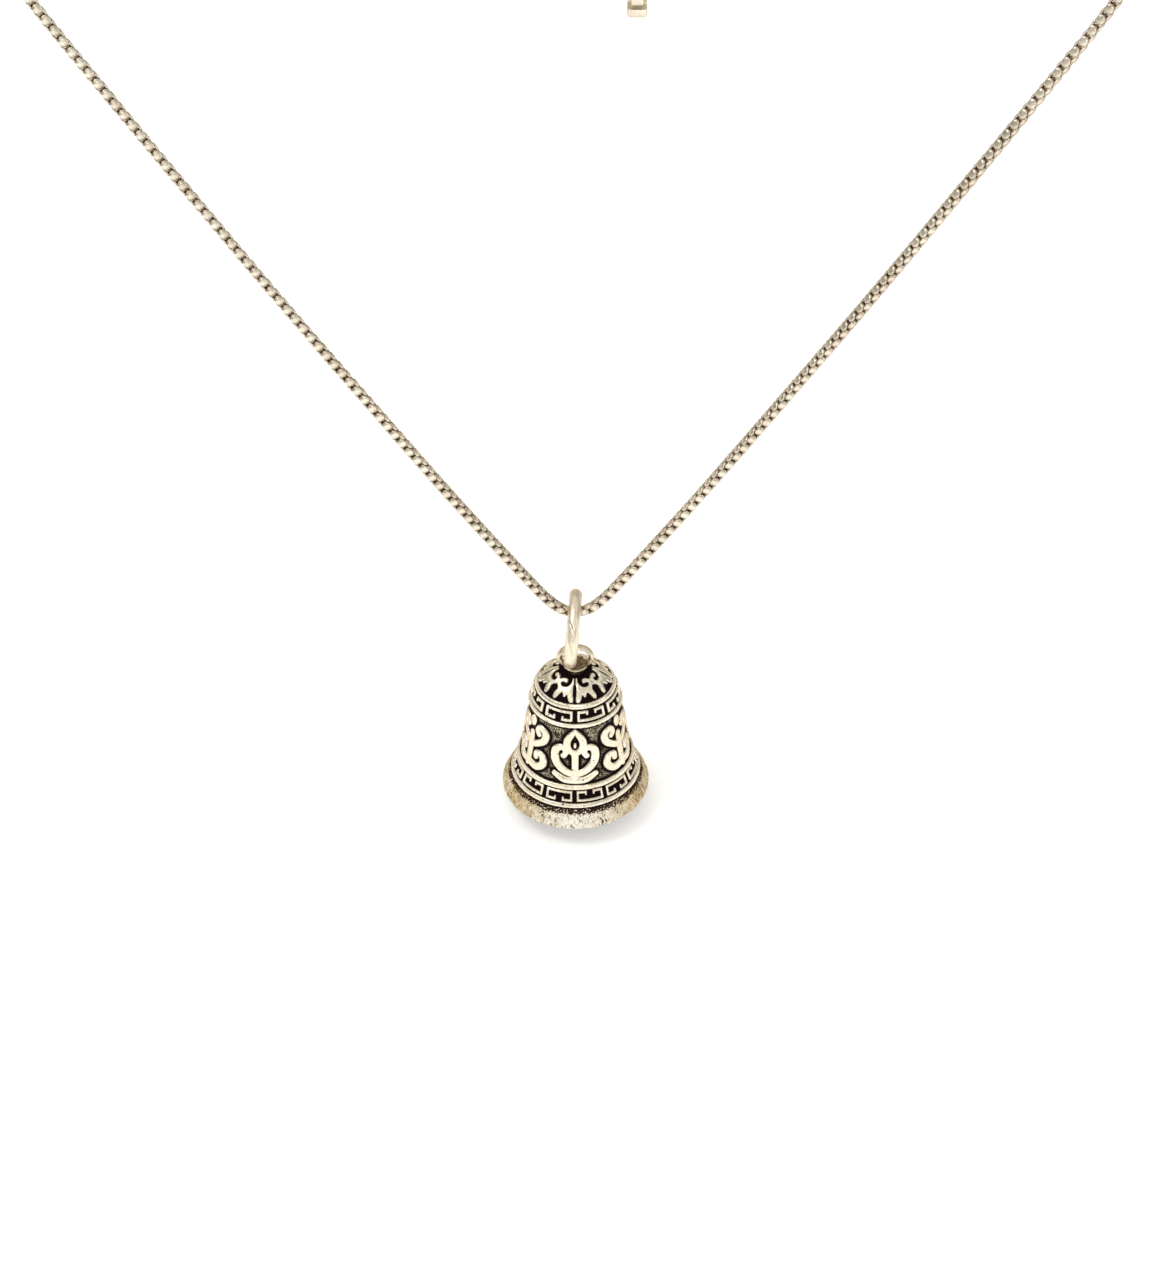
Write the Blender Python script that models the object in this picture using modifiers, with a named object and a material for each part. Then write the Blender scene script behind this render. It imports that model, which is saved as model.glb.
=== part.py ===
"""Bell pendant hanging by its ring on a Venetian box chain, closed by a lobster clasp.

Metres, +Z up. The chain loop lies in the XZ plane. The origin is at the top of the loop, where
a neck or a display form holds the chain, and the bell hangs at the loop's lowest point.
"""

import math

import bmesh
import bpy
from mathutils import Matrix, Vector

MM = 0.001
GAP = 0.03 * MM  # between pieces that touch

# Chain: one side of the V and of the shoulder, as (x, height above the ring), in mm.
CHAIN_WIDTH = 1.2 * MM
LOOP_DROP = 127.0 * MM
LEG = (
    (1.5, 0.36), (3.2, 1.75), (5.8, 5.05), (14.6, 17.45), (24.6, 32.3), (34.0, 46.5),
    (42.6, 59.9), (50.7, 72.7), (58.2, 84.9),
)
SHOULDER = (
    (64.2, 96.0), (67.0, 106.4), (63.8, 118.0), (54.6, 125.8), (43.2, 127.6), (32.2, 123.6),
    (18.6, 111.2),
)
SAMPLES = 2  # pieces of tube between two points of the route

# Pendant ring, turned a little about the vertical and leaning so that its foot is to the left.
RING_MAJOR = 4.25 * MM
RING_WIRE = 0.8 * MM
RING_TOP = 1.44 * MM  # its wire's middle, above the chain's
RING_YAW = math.radians(3.0)
RING_LEAN = math.radians(4.0)

# Bell: depths are below the chain inside the ring, in mm.
CROWN_WIDTH = 2.05
CROWN_WIRE = 0.32
CROWN_DEPTH = 7.35
CROWN_FLATTEN = 0.76
CROWN_BROAD = 2.0
FOOT_TOP = 8.9
FOOT_RADIUS = 1.7
DOME_FLAT_DEPTH = 9.22
DOME_FLAT_RADIUS = 2.15
DOME_RADIUS = 4.95
DOME_HEIGHT = 2.85
DOME_BASE_DEPTH = 11.35
DOME_POWER = 1.43  # exponent of the dome's pointed superellipse
OUTER_WALL = (
    (5.38, 11.4), (5.42, 11.95), (5.15, 12.0), (5.65, 13.85), (6.02, 13.9), (6.1, 14.35),
    (5.8, 14.4), (6.2, 18.0), (6.75, 21.5), (7.15, 23.15), (7.58, 23.2), (7.75, 23.85),
    (7.45, 23.9), (8.1, 25.55), (8.5, 25.6), (8.7, 26.2), (8.45, 26.25), (8.8, 26.75),
    (9.25, 27.3), (9.55, 27.8), (9.62, 28.15), (9.45, 28.5), (9.1, 28.65),
)
INNER_WALL = (
    (8.25, 28.65), (7.95, 28.2), (7.55, 27.0), (6.9, 24.5), (6.2, 21.5), (5.5, 18.0),
    (4.95, 14.5), (4.2, 12.4), (3.0, 10.9), (1.6, 10.3), (0.0, 10.2),
)
BELL_STEPS = 40

# Clapper, hung inside on a wire eye.
EYE_MAJOR = 0.85
EYE_WIRE = 0.24
EYE_DEPTH = 11.32
LINK_MAJOR = 0.95
ROD_EYE_MAJOR = 0.8
ROD_RADIUS = 0.4
ROD_END_DEPTH = 22.85
BOB_RADIUS = 2.1
BOB_DEPTH = 25.0

# Clasp: heights are above its nose, and u runs from the gate to the spine, in mm.
CLASP_X = 6.8
CLASP_NOSE = 83.0
CLASP_THICK = 2.1
CLASP_OUTLINE = (
    (0.0, 0.0), (1.15, 0.35), (2.0, 1.45), (2.45, 3.1), (2.5, 5.0), (2.15, 7.0), (1.35, 8.5),
    (0.75, 9.2), (-0.75, 9.2), (-1.6, 8.5), (-2.3, 7.2), (-2.55, 5.0), (-2.45, 3.1),
    (-2.0, 1.45), (-1.15, 0.35),
)
TAIL_HEIGHT = 9.7
TAIL_MAJOR = 1.0
TAIL_WIRE = 0.34
CAVITY_HEIGHT = 4.0
CAVITY_HALF = (1.15, 2.4)
GATE_LOW = 1.85
GATE_HIGH = 6.3
SLOT_HALF = 0.72
PIVOT = (-1.7, 7.1)
PIN_RADIUS = 0.3
BORE_RADIUS = 0.35
LEVER_THICK = 1.3
LEVER_OUTLINE = (
    (-1.3, 1.95), (-1.95, 2.1), (-2.35, 3.2), (-2.45, 5.0), (-2.4, 6.4), (-2.8, 7.3),
    (-3.3, 8.3), (-2.9, 8.8), (-2.1, 8.4), (-1.35, 8.0), (-1.0, 7.3), (-1.05, 6.6),
    (-1.35, 5.6), (-1.45, 4.2), (-1.2, 2.7),
)
SPRING_ROUTE = ((-0.7, 8.55), (-0.82, 8.1), (-0.8, 7.6), (-0.7, 7.2))
SPRING_WIRE = 0.1

# Rings and caps at the chain's two ends, in mm.
CLASP_RING_MAJOR = 1.6
CATCH_RING_MAJOR = 2.0
END_RING_WIRE = 0.3
CATCH_HEIGHT = 88.0
CATCH_U = -1.95
CATCH_TILT = math.radians(20.0)
CAP_EYE_MAJOR = 0.7
CAP_EYE_WIRE = 0.22
CAP_RADIUS = 0.8
CAP_LENGTH = 2.0
LEFT_END_WAY = Vector((-0.69, 0.0, 0.724)).normalized()

SILVER = (0.74, 0.70, 0.63)
DARK_SILVER = (0.36, 0.32, 0.29)
STEEL = (0.55, 0.55, 0.56)

X_AXIS = Vector((1.0, 0.0, 0.0))
Y_AXIS = Vector((0.0, 1.0, 0.0))
Z_AXIS = Vector((0.0, 0.0, 1.0))


def collection(name):
    """Make a collection in the scene."""
    made = bpy.data.collections.new(name)
    bpy.context.scene.collection.children.link(made)
    return made


def material(name, colour, roughness):
    """A metal with one colour and roughness."""
    made = bpy.data.materials.new(name)
    made.use_nodes = True
    shader = made.node_tree.nodes["Principled BSDF"]
    shader.inputs["Base Color"].default_value = (*colour, 1.0)
    shader.inputs["Metallic"].default_value = 1.0
    shader.inputs["Roughness"].default_value = roughness
    return made


def at(x, y, height):
    """A place given in mm, with its height counted from the chain inside the ring."""
    return Vector((x * MM, y * MM, height * MM - LOOP_DROP))


def facing(axis):
    """The rotation that turns +Z onto an axis."""
    return Z_AXIS.rotation_difference(axis).to_euler()


def adopt(obj, name, group, look=None):
    """Name an object and put it in one collection."""
    for old in list(obj.users_collection):
        old.objects.unlink(obj)
    group.objects.link(obj)
    obj.name = name
    if look is not None:
        obj.data.materials.clear()
        obj.data.materials.append(look)
    return obj


def smooth(obj, degrees=35.0):
    """Shade round faces smooth and keep the edges sharp."""
    obj.data.shade_smooth()
    obj.data.set_sharp_from_angle(angle=math.radians(degrees))


def torus(name, group, look, place, axis, major, wire, steps=(32, 10)):
    """A ring of round wire, in mm."""
    bpy.ops.mesh.primitive_torus_add(
        major_segments=steps[0],
        minor_segments=steps[1],
        major_radius=major * MM,
        minor_radius=wire * MM,
        location=place,
        rotation=facing(axis),
    )
    made = adopt(bpy.context.object, name, group, look)
    smooth(made, 60.0)
    return made


def cylinder(name, group, look, place, axis, radius, length, steps=24):
    """A straight round bar about its middle, in mm."""
    bpy.ops.mesh.primitive_cylinder_add(
        vertices=steps,
        radius=radius * MM,
        depth=length * MM,
        location=place,
        rotation=facing(axis),
    )
    made = adopt(bpy.context.object, name, group, look)
    smooth(made)
    return made


def block(name, group, low, high):
    """A box between two corners."""
    bpy.ops.mesh.primitive_cube_add(size=1.0, location=(low + high) / 2)
    made = adopt(bpy.context.object, name, group)
    made.scale = high - low
    apply_scale(made)
    return made


def apply_scale(obj):
    """Put an object's scale into its mesh."""
    obj.data.transform(Matrix.Diagonal((*obj.scale, 1.0)))
    obj.scale = (1.0, 1.0, 1.0)


def hide_tool(obj):
    """Show a boolean operand as wire only."""
    obj.hide_render = True
    obj.display_type = "WIRE"


def boolean(obj, tool, operation):
    """Cut or join with another mesh."""
    step = obj.modifiers.new(tool.name, "BOOLEAN")
    step.operation = operation
    step.object = tool
    step.solver = "EXACT"
    hide_tool(tool)


def to_mesh(curve_object, name, group, look=None):
    """Turn a curve object into one welded mesh object."""
    seen = bpy.context.evaluated_depsgraph_get()
    mesh = bpy.data.meshes.new_from_object(curve_object.evaluated_get(seen))
    work = bmesh.new()
    work.from_mesh(mesh)
    bmesh.ops.remove_doubles(work, verts=work.verts, dist=0.0000005)
    bmesh.ops.recalc_face_normals(work, faces=work.faces)
    work.to_mesh(mesh)
    work.free()
    made = bpy.data.objects.new(name, mesh)
    made.matrix_world = curve_object.matrix_world.copy()
    bpy.data.objects.remove(curve_object)
    group.objects.link(made)
    mesh.materials.clear()
    if look is not None:
        mesh.materials.append(look)
    smooth(made)
    return made


def tube(name, group, look, points, radius):
    """A round wire along points, with filled caps."""
    data = bpy.data.curves.new(name, "CURVE")
    data.dimensions = "3D"
    data.bevel_depth = radius
    data.bevel_resolution = 2
    data.use_fill_caps = True
    line = data.splines.new("POLY")
    line.points.add(len(points) - 1)
    for spot, place in zip(line.points, points):
        spot.co = (*place, 1.0)
    data.materials.append(look)
    made = bpy.data.objects.new(name, data)
    group.objects.link(made)
    return made


def plate(name, group, look, outline, thick, rounding):
    """A flat outline in u and height, in mm, given thickness along X at the clasp's place."""
    data = bpy.data.curves.new(name, "CURVE")
    data.dimensions = "2D"
    data.fill_mode = "BOTH"
    data.extrude = (thick / 2 - rounding) * MM
    data.bevel_depth = rounding * MM
    data.bevel_resolution = 1
    data.offset = -rounding * MM
    line = data.splines.new("NURBS")
    line.points.add(len(outline) - 1)
    for spot, (u, height) in zip(line.points, outline):
        spot.co = (u * MM, height * MM, 0.0, 1.0)
    line.use_cyclic_u = True
    line.order_u = 3
    line.resolution_u = 3
    made = bpy.data.objects.new(name + "_curve", data)
    group.objects.link(made)
    # Local X becomes u (world Y), local Y becomes the height, local Z the thickness (world X).
    turn = Matrix(((0, 0, 1), (1, 0, 0), (0, 1, 0))).to_4x4()
    made.matrix_world = Matrix.Translation(at(CLASP_X, 0.0, CLASP_NOSE)) @ turn
    bpy.context.view_layer.update()
    return to_mesh(made, name, group, look)


def turned(name, group, look, profile, steps):
    """A turned solid about Z from a profile that starts and ends on the axis."""
    mesh = bpy.data.meshes.new(name)
    points = [(radius * MM, 0.0, -depth * MM) for radius, depth in profile]
    mesh.from_pydata(points, [(k, k + 1) for k in range(len(points) - 1)], [])
    made = bpy.data.objects.new(name, mesh)
    made.location = at(0.0, 0.0, 0.0)
    group.objects.link(made)
    mesh.materials.append(look)
    spin = made.modifiers.new("turn", "SCREW")
    spin.steps = steps
    spin.render_steps = steps
    spin.use_merge_vertices = True
    spin.merge_threshold = 0.000001
    spin.use_smooth_shade = False
    return made


def catmull(points, samples):
    """A smooth line through points."""
    ends = [2 * points[0] - points[1]] + points + [2 * points[-1] - points[-2]]
    line = []
    for a, b, c, d in zip(ends, ends[1:], ends[2:], ends[3:]):
        for k in range(samples):
            t = k / samples
            line.append(
                0.5
                * (
                    2 * b
                    + (c - a) * t
                    + (2 * a - 5 * b + 4 * c - d) * t * t
                    + (3 * b - a - 3 * c + d) * t ** 3
                )
            )
    return line + [points[-1]]


def end_cap_places(wire, way):
    """Centre of a cap's eye, middle of its barrel and the chain's end beyond it."""
    eye = wire + way * (CAP_EYE_MAJOR - CAP_EYE_WIRE - END_RING_WIRE - 0.03) * MM
    barrel = eye + way * (CAP_EYE_MAJOR + CAP_LENGTH / 2) * MM
    end = barrel + way * (CAP_LENGTH / 2 * MM + 2 * GAP)
    return eye, barrel, end


def clasp_ring_place():
    """Centre of the ring in the clasp's tail."""
    return at(CLASP_X, 0.0, CLASP_NOSE + TAIL_HEIGHT + 0.33 + CLASP_RING_MAJOR)


def catch_ring_place():
    """Centre of the ring that the clasp closes on."""
    return at(CLASP_X, CATCH_U, CATCH_HEIGHT)


def right_wire():
    """Where the right cap holds the clasp's ring."""
    return clasp_ring_place() + Z_AXIS * CLASP_RING_MAJOR * MM


def left_wire():
    """Where the left cap holds the catch ring."""
    reach = CATCH_RING_MAJOR * MM
    side = Vector((-math.cos(CATCH_TILT), 0.0, math.sin(CATCH_TILT)))
    return catch_ring_place() + side * reach


def chain_route():
    """The chain's centreline from its left end, down the V and up to its right end."""
    side = LEG + SHOULDER
    left = [at(-x, 0.0, height) for x, height in reversed(side)]
    right = [at(x, 0.0, height) for x, height in side]
    left_end = end_cap_places(left_wire(), LEFT_END_WAY)[2]
    right_end = end_cap_places(right_wire(), Z_AXIS)[2]
    left_ends = [left_end, left_end + LEFT_END_WAY * 2.0 * MM, left_end + LEFT_END_WAY * 10.0 * MM]
    right_bend = right_end + Vector((3.2, 0.0, 7.6)) * MM
    right_ends = [right_bend, right_end + Z_AXIS * 2.0 * MM, right_end]
    return left_ends + left + [at(0.0, 0.0, 0.0)] + right + right_ends


def build_chain(parts, look):
    """The box chain, as its outer tube."""
    line = catmull(chain_route(), SAMPLES)
    return tube("box_chain", parts, look, line, CHAIN_WIDTH / 2)


def build_end_cap(name, parts, tools, look, wire, way, eye_axis):
    """A soldered cap with its eye at one end of the chain."""
    eye, barrel, _ = end_cap_places(wire, way)
    cap = cylinder(name, parts, look, barrel, way, CAP_RADIUS, CAP_LENGTH, 20)
    loop = torus(
        name + "_eye", tools, None, eye, eye_axis, CAP_EYE_MAJOR, CAP_EYE_WIRE, (24, 8)
    )
    boolean(cap, loop, "UNION")
    return cap


def build_end_rings(parts, look):
    """The ring in the clasp's tail and the ring that the clasp closes on."""
    torus(
        "clasp_ring", parts, look, clasp_ring_place(), Y_AXIS, CLASP_RING_MAJOR, END_RING_WIRE
    )
    axis = Vector((math.sin(CATCH_TILT), 0.0, math.cos(CATCH_TILT)))
    torus(
        "catch_ring", parts, look, catch_ring_place(), axis, CATCH_RING_MAJOR, END_RING_WIRE
    )


def clasp_spot(u, height):
    """A place on the clasp's middle plane."""
    return at(CLASP_X, u, CLASP_NOSE + height)


def clasp_box(name, tools, half, low, high):
    """A cutter across the clasp, from (u, height) to (u, height)."""
    side = X_AXIS * half * MM
    return block(name, tools, clasp_spot(*low) - side, clasp_spot(*high) + side)


def build_clasp(parts, tools, look):
    """The clasp's cast body: hook, spine, cheeks and tail eye."""
    body = plate("clasp_body", parts, look, CLASP_OUTLINE, CLASP_THICK, 0.35)
    tail = torus(
        "clasp_tail", tools, None, clasp_spot(0.0, TAIL_HEIGHT), X_AXIS, TAIL_MAJOR, TAIL_WIRE,
        (28, 10),
    )
    boolean(body, tail, "UNION")
    through = 2 * CLASP_THICK
    cavity = cylinder(
        "clasp_cavity", tools, None, clasp_spot(0.0, CAVITY_HEIGHT), X_AXIS, 1.0, through, 32
    )
    cavity.rotation_euler = (0.0, math.pi / 2, 0.0)
    cavity.scale = (CAVITY_HALF[1], CAVITY_HALF[0], 1.0)
    apply_scale(cavity)
    boolean(body, cavity, "DIFFERENCE")
    gate = clasp_box("clasp_gate", tools, CLASP_THICK, (-4.0, GATE_LOW), (-0.6, GATE_HIGH))
    boolean(body, gate, "DIFFERENCE")
    slot = clasp_box("clasp_slot", tools, SLOT_HALF, (-4.0, GATE_HIGH - 0.4), (-0.55, 8.7))
    boolean(body, slot, "DIFFERENCE")
    hole = cylinder(
        "clasp_tail_hole", tools, None, clasp_spot(0.0, TAIL_HEIGHT), X_AXIS,
        TAIL_MAJOR - TAIL_WIRE, through,
    )
    boolean(body, hole, "DIFFERENCE")
    bore = cylinder(
        "clasp_bore", tools, None, clasp_spot(*PIVOT), X_AXIS, BORE_RADIUS, through, 20
    )
    boolean(body, bore, "DIFFERENCE")


def build_lever(parts, tools, look, pivot):
    """The sprung lever that closes the hook, on its pin."""
    lever = plate("clasp_lever", parts, look, LEVER_OUTLINE, LEVER_THICK, 0.12)
    bore = cylinder(
        "lever_bore", tools, None, clasp_spot(*PIVOT), X_AXIS, BORE_RADIUS, 2 * LEVER_THICK, 20
    )
    boolean(lever, bore, "DIFFERENCE")
    follow(lever, pivot)


def build_clasp_inside(parts, look):
    """The lever's pin and its spring."""
    cylinder(
        "clasp_pin", parts, look, clasp_spot(*PIVOT), X_AXIS, PIN_RADIUS, CLASP_THICK - 0.1, 20
    )
    route = catmull([clasp_spot(u, height) for u, height in SPRING_ROUTE], 3)
    tube("clasp_spring", parts, look, route, SPRING_WIRE * MM)


def ring_ways():
    """The ring's ways down and level, both in its own plane."""
    down = Vector((-math.sin(RING_LEAN), 0.0, -math.cos(RING_LEAN)))
    level = Vector((math.sin(RING_YAW), math.cos(RING_YAW), 0.0))
    return down, (level - down * level.dot(down)).normalized()


def ring_top():
    """Middle of the ring's wire where it hangs on the chain."""
    return at(0.0, 0.0, 0.0) + Z_AXIS * RING_TOP


def build_pendant_ring(parts, look, pivot):
    """The large ring round the chain and through the crown loop."""
    down, level = ring_ways()
    ring = torus(
        "pendant_ring", parts, look, ring_top() + down * RING_MAJOR, level.cross(down),
        RING_MAJOR / MM, RING_WIRE / MM, (44, 12),
    )
    follow(ring, pivot)


def dome_profile(steps=7):
    """The dome from its flat crown to its base, a pointed superellipse."""
    flat = math.asin((DOME_FLAT_RADIUS / DOME_RADIUS) ** (1 / DOME_POWER))
    points = []
    for k in range(steps):
        turn = flat + (math.pi / 2 - flat) * k / (steps - 1)
        radius = DOME_RADIUS * math.sin(turn) ** DOME_POWER
        depth = DOME_BASE_DEPTH - DOME_HEIGHT * max(math.cos(turn), 0.0) ** DOME_POWER
        points.append((radius, depth))
    return points


def build_bell(parts, tools, look, pivot):
    """The hollow bell with its four raised rings, and the crown loop on top."""
    profile = [(0.0, DOME_FLAT_DEPTH)] + dome_profile() + list(OUTER_WALL + INNER_WALL)
    profile[1] = (DOME_FLAT_RADIUS, DOME_FLAT_DEPTH)
    shell = turned("bell_shell", parts, look, profile, BELL_STEPS)
    follow(shell, pivot)

    loop = torus(
        "crown_loop", parts, look, at(0.0, 0.0, -CROWN_DEPTH), Y_AXIS, CROWN_WIDTH, CROWN_WIRE,
        (40, 10),
    )
    loop.rotation_euler = (math.pi / 2, 0.0, 0.0)
    loop.scale = (1.0, CROWN_FLATTEN, CROWN_BROAD)
    apply_scale(loop)
    foot_bottom = DOME_FLAT_DEPTH - GAP / MM
    foot = cylinder(
        "crown_foot", tools, None, at(0.0, 0.0, -(FOOT_TOP + foot_bottom) / 2), Z_AXIS,
        FOOT_RADIUS, foot_bottom - FOOT_TOP, 32,
    )
    boolean(loop, foot, "UNION")
    follow(loop, pivot)


def build_clapper(parts, tools, look, bell, link_pivot, rod_pivot):
    """The eye under the crown, the link, and the clapper that hangs from it."""
    eye = torus(
        "clapper_eye", parts, look, at(0.0, 0.0, -EYE_DEPTH), Y_AXIS, EYE_MAJOR, EYE_WIRE,
        (24, 8),
    )
    follow(eye, bell)
    link = torus(
        "clapper_link", parts, look, at(0.0, 0.0, -link_depth()), X_AXIS, LINK_MAJOR, EYE_WIRE,
        (24, 8),
    )
    follow(link, link_pivot)
    rod_eye_depth = rod_pivot_depth() - wire_lap() + ROD_EYE_MAJOR
    rod_top = rod_eye_depth + ROD_EYE_MAJOR
    rod = cylinder(
        "clapper_rod", parts, look, at(0.0, 0.0, -(rod_top + ROD_END_DEPTH) / 2), Z_AXIS,
        ROD_RADIUS, ROD_END_DEPTH - rod_top, 16,
    )
    rod_eye = torus(
        "clapper_rod_eye", tools, None, at(0.0, 0.0, -rod_eye_depth), Y_AXIS, ROD_EYE_MAJOR,
        EYE_WIRE, (24, 8),
    )
    boolean(rod, rod_eye, "UNION")
    follow(rod, rod_pivot)
    bpy.ops.mesh.primitive_uv_sphere_add(
        segments=24, ring_count=14, radius=BOB_RADIUS * MM, location=at(0.0, 0.0, -BOB_DEPTH)
    )
    bob = adopt(bpy.context.object, "clapper_bob", parts, look)
    smooth(bob, 60.0)
    follow(bob, rod_pivot)


def wire_lap():
    """Distance between the middles of two wires that hang on each other, in mm."""
    return 2 * EYE_WIRE + GAP / MM


def link_pivot_depth():
    """Depth of the eye's lowest wire, where the link turns."""
    return EYE_DEPTH + EYE_MAJOR


def link_depth():
    """Depth of the link's middle."""
    return link_pivot_depth() - wire_lap() + LINK_MAJOR


def rod_pivot_depth():
    """Depth of the link's lowest wire, where the clapper turns."""
    return link_depth() + LINK_MAJOR


def pivot_point(name, group, place):
    """An empty on a joint's axis."""
    made = bpy.data.objects.new(name, None)
    made.empty_display_size = 0.002
    made.location = place
    group.objects.link(made)
    return made


def follow(obj, parent):
    """Parent an object where it stands."""
    bpy.context.view_layer.update()
    obj.parent = parent
    obj.matrix_parent_inverse = parent.matrix_world.inverted()


def build_pivots(parts):
    """The empties on the joints' axes, from the chain down to the clapper."""
    ring = pivot_point("ring_pivot", parts, at(0.0, 0.0, 0.0))
    crown = ring_top() + ring_ways()[0] * 2 * RING_MAJOR
    bell = pivot_point("bell_pivot", parts, crown)
    link = pivot_point("link_pivot", parts, at(0.0, 0.0, -link_pivot_depth()))
    rod = pivot_point("rod_pivot", parts, at(0.0, 0.0, -rod_pivot_depth()))
    lever = pivot_point("lever_pivot", parts, clasp_spot(*PIVOT))
    follow(bell, ring)
    follow(link, bell)
    follow(rod, link)
    return ring, bell, link, rod, lever


def main():
    """Clear the scene and build every part."""
    for old in list(bpy.data.objects):
        bpy.data.objects.remove(old)
    parts = collection("tibetan_bell")
    tools = collection("cutters")
    silver = material("polished_silver", SILVER, 0.28)
    dark = material("oxidised_silver", DARK_SILVER, 0.45)
    steel = material("spring_steel", STEEL, 0.35)

    ring, bell, link, rod, lever = build_pivots(parts)
    build_chain(parts, silver)
    build_end_cap(
        "chain_end_cap_left", parts, tools, silver, left_wire(), LEFT_END_WAY, Y_AXIS
    )
    build_end_cap("chain_end_cap_right", parts, tools, silver, right_wire(), Z_AXIS, X_AXIS)
    build_end_rings(parts, silver)
    build_clasp(parts, tools, silver)
    build_lever(parts, tools, silver, lever)
    build_clasp_inside(parts, steel)
    build_pendant_ring(parts, silver, ring)
    build_bell(parts, tools, dark, bell)
    build_clapper(parts, tools, silver, bell, link, rod)


main()
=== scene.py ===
"""Bell pendant on a box chain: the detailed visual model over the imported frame.

Metres, +Z up, in the row frame. Lengths marked mm are turned to metres by MM. Depths are below
the chain where it passes through the pendant ring, and heights are above it.
"""

import math

import bmesh
import bpy
import numpy as np
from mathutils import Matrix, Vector


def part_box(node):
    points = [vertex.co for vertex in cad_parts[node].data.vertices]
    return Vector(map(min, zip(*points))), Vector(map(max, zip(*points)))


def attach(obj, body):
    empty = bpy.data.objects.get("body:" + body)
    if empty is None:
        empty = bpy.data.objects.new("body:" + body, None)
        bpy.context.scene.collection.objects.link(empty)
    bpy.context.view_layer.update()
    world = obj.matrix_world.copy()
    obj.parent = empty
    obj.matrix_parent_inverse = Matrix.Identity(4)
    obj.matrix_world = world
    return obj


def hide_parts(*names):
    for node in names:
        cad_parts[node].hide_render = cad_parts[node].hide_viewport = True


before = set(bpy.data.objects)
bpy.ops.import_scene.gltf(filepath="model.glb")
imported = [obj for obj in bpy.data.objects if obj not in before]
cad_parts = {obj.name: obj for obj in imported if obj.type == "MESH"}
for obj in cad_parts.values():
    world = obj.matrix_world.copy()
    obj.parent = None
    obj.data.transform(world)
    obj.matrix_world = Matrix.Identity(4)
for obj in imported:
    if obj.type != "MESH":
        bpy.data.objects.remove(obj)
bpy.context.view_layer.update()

MM = 0.001
CONTACT_Z = -0.127  # the chain inside the pendant ring


# ---------------------------------------------------------------- camera

CAMERA_PLACE = Vector((0.0012117, -0.2954827, 0.1166996))
CAMERA_ELEVATION = math.radians(40.0)

camera_data = bpy.data.cameras.new("camera")
camera_data.sensor_fit = "AUTO"
camera_data.sensor_width = 36.0
camera_data.lens = 86.57
camera_data.clip_start = 0.01
camera_data.clip_end = 20.0
camera = bpy.data.objects.new("camera", camera_data)
camera.location = CAMERA_PLACE
camera.rotation_euler = (math.pi / 2 - CAMERA_ELEVATION, 0.0, 0.0)
bpy.context.scene.collection.objects.link(camera)
bpy.context.scene.camera = camera


# ---------------------------------------------------------------- small helpers

def to_frame(spots):
    """Places in mm from the chain inside the ring, as metres in the row frame."""
    return spots * MM + np.array([0.0, 0.0, CONTACT_Z])


def depth_of(z):
    """A height in the row frame as a depth in mm below the chain inside the ring."""
    return -(z - CONTACT_Z) / MM


def smooth(low, high, value):
    """Smooth step of an array or number."""
    t = np.clip((value - low) / (high - low), 0.0, 1.0)
    return t * t * (3 - 2 * t)


def add_mesh(name, vertices, faces, material):
    """A smooth-shaded mesh object from arrays of places (metres) and faces."""
    mesh = bpy.data.meshes.new(name)
    mesh.from_pydata([tuple(v) for v in vertices], [], [tuple(f) for f in faces])
    mesh.validate()
    mesh.materials.append(material)
    mesh.polygons.foreach_set("use_smooth", np.ones(len(mesh.polygons), bool))
    mesh.update()
    made = bpy.data.objects.new(name, mesh)
    bpy.context.scene.collection.objects.link(made)
    return made


def add_values(thing, name, values):
    """A value on each point of a mesh, for its material."""
    layer = thing.data.attributes.new(name, "FLOAT", "POINT")
    layer.data.foreach_set("value", np.asarray(values, np.float32).ravel())


def outward(thing):
    """Faces turned to the outside."""
    work = bmesh.new()
    work.from_mesh(thing.data)
    bmesh.ops.recalc_face_normals(work, faces=work.faces)
    work.to_mesh(thing.data)
    work.free()


def catmull(points, samples):
    """A smooth line through points."""
    points = [np.array(p, float) for p in points]
    ends = [2 * points[0] - points[1]] + points + [2 * points[-1] - points[-2]]
    line = []
    for a, b, c, d in zip(ends, ends[1:], ends[2:], ends[3:]):
        for k in range(samples):
            t = k / samples
            line.append(
                0.5
                * (
                    2 * b
                    + (c - a) * t
                    + (2 * a - 5 * b + 4 * c - d) * t * t
                    + (3 * b - a - 3 * c + d) * t ** 3
                )
            )
    return np.array(line + [points[-1]])


def grid_faces(rows, columns, closed_rows=False):
    """Quads of a grid whose columns go round."""
    faces = []
    last = rows if closed_rows else rows - 1
    k = np.arange(columns)
    nxt = (k + 1) % columns
    for i in range(last):
        a = i * columns
        b = ((i + 1) % rows) * columns
        faces.append(np.stack([a + k, a + nxt, b + nxt, b + k], 1))
    return np.concatenate(faces)


def turned_faces(rows, columns):
    """Faces of a solid of revolution, fanned to one point at each end. Those two points
    follow the grid's."""
    k = np.arange(columns)
    nxt = (k + 1) % columns
    first_end, last_row = rows * columns, (rows - 1) * columns
    near = np.stack([np.full(columns, first_end), nxt, k], 1)
    far = np.stack([np.full(columns, first_end + 1), last_row + k, last_row + nxt], 1)
    return [*grid_faces(rows, columns).tolist(), *near.tolist(), *far.tolist()]


# ---------------------------------------------------------------- material nodes

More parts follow.
